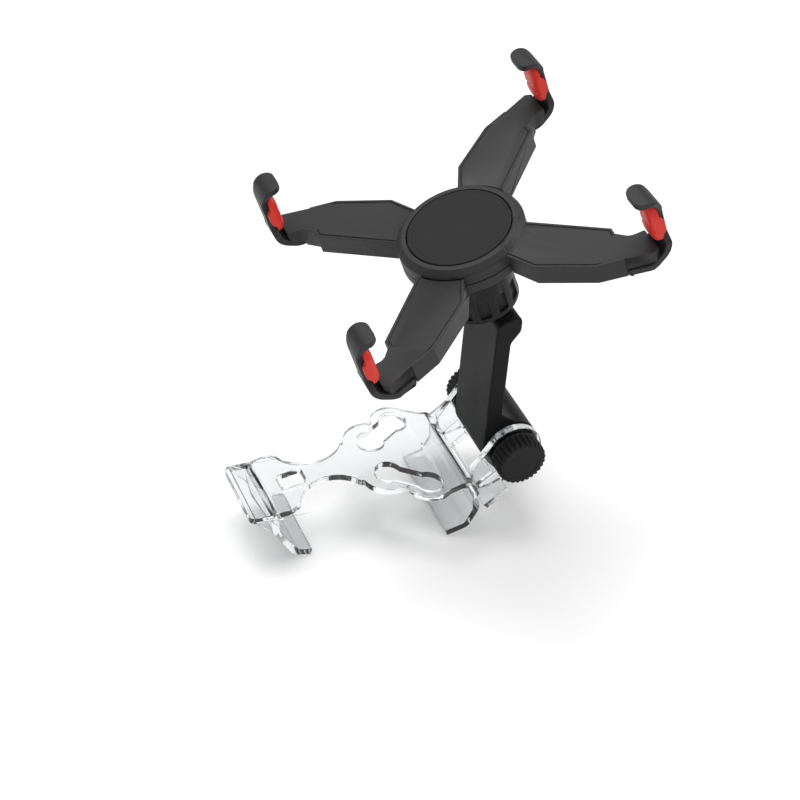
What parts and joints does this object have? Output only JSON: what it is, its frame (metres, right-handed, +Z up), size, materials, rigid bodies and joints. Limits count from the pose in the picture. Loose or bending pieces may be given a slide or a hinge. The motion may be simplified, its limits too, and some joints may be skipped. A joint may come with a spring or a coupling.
{
  "type": "controller phone clip",
  "caption": "Clear clip that seats over a game controller, with a hinged arm, a ball joint and crossed levers whose padded claws hold a phone.",
  "frame": {"origin": "underside of the clear plate, the face that rests on the controller, on the clip's plane of symmetry", "axes": "+X across the controller, +Y from the player towards the hinge, +Z up out of the controller"},
  "size_m": [0.0872, 0.1109, 0.1343],
  "materials": {
    "clear_plastic": "clear polished polycarbonate",
    "black_plastic": "fine satin texture",
    "knob_plastic": "satin",
    "dark_nylon": "low sheen nylon",
    "disc_rubber": "soft matt pad",
    "red_silicone": "satin silicone",
    "steel": "zinc plated"
  },
  "bodies": {
    "bracket": {"clear_bracket": "clear_plastic", "friction_washers": "dark_nylon"},
    "arm": {"hinge_arm": "black_plastic"},
    "left_knob": {"knob_left": "knob_plastic", "hinge_bolt": "steel"},
    "right_knob": {"knob_right": "knob_plastic", "hinge_nut": "steel"},
    "ball_lower_cup": {"lower_cup": "dark_nylon"},
    "ball_upper_cup": {"upper_cup": "dark_nylon"},
    "holder": {"socket_base": "black_plastic", "upper_lever": "black_plastic", "rim_ring": "black_plastic", "centre_disc": "disc_rubber", "pivot_screw": "steel", "rim_screws": "steel", "wave_washer": "steel", "claw_right": "black_plastic", "claw_left": "black_plastic", "pad_right": "red_silicone", "pad_left": "red_silicone", "claw_screws_upper": "steel"},
    "cross_lever": {"lower_lever": "black_plastic", "claw_top": "black_plastic", "claw_bottom": "black_plastic", "pad_top": "red_silicone", "pad_bottom": "red_silicone", "claw_screws_lower": "steel"},
    "collar": {"lock_nut": "knob_plastic"}
  },
  "joints": [
    {"name": "arm_tilt", "type": "hinge", "parent": "bracket", "child": "arm", "pos_m": [0, 0.0584, 0.0059], "axis": [1, 0, 0], "range_deg": [-100, 38]},
    {"name": "left_knob_turn", "type": "hinge", "parent": "bracket", "child": "left_knob", "pos_m": [0, 0.0584, 0.0059], "axis": [1, 0, 0], "range_deg": [-360, 0]},
    {"name": "right_knob_turn", "type": "hinge", "parent": "bracket", "child": "right_knob", "pos_m": [0, 0.0584, 0.0059], "axis": [1, 0, 0], "range_deg": [0, 360]},
    {"name": "ball_tilt", "type": "hinge", "parent": "arm", "child": "ball_lower_cup", "pos_m": [0, 0.04633, 0.06373], "axis": [1, 0, 0], "range_deg": [-10, 10]},
    {"name": "ball_roll", "type": "hinge", "parent": "ball_lower_cup", "child": "ball_upper_cup", "pos_m": [0, 0.04633, 0.06373], "axis": [0, 0.9367, 0.3502], "range_deg": [-10, 10]},
    {"name": "ball_spin", "type": "hinge", "parent": "ball_upper_cup", "child": "holder", "pos_m": [0, 0.04633, 0.06373], "axis": [0, -0.3502, 0.9367], "continuous": true},
    {"name": "arms_scissor", "type": "hinge", "parent": "holder", "child": "cross_lever", "pos_m": [0, 0.0395, 0.082], "axis": [0, -0.3502, 0.9367], "range_deg": [-28, 34]},
    {"name": "collar_turn", "type": "hinge", "parent": "holder", "child": "collar", "pos_m": [0, 0.0465, 0.06327], "axis": [0, -0.3502, 0.9367], "range_deg": [-360, 0]}
  ]
}
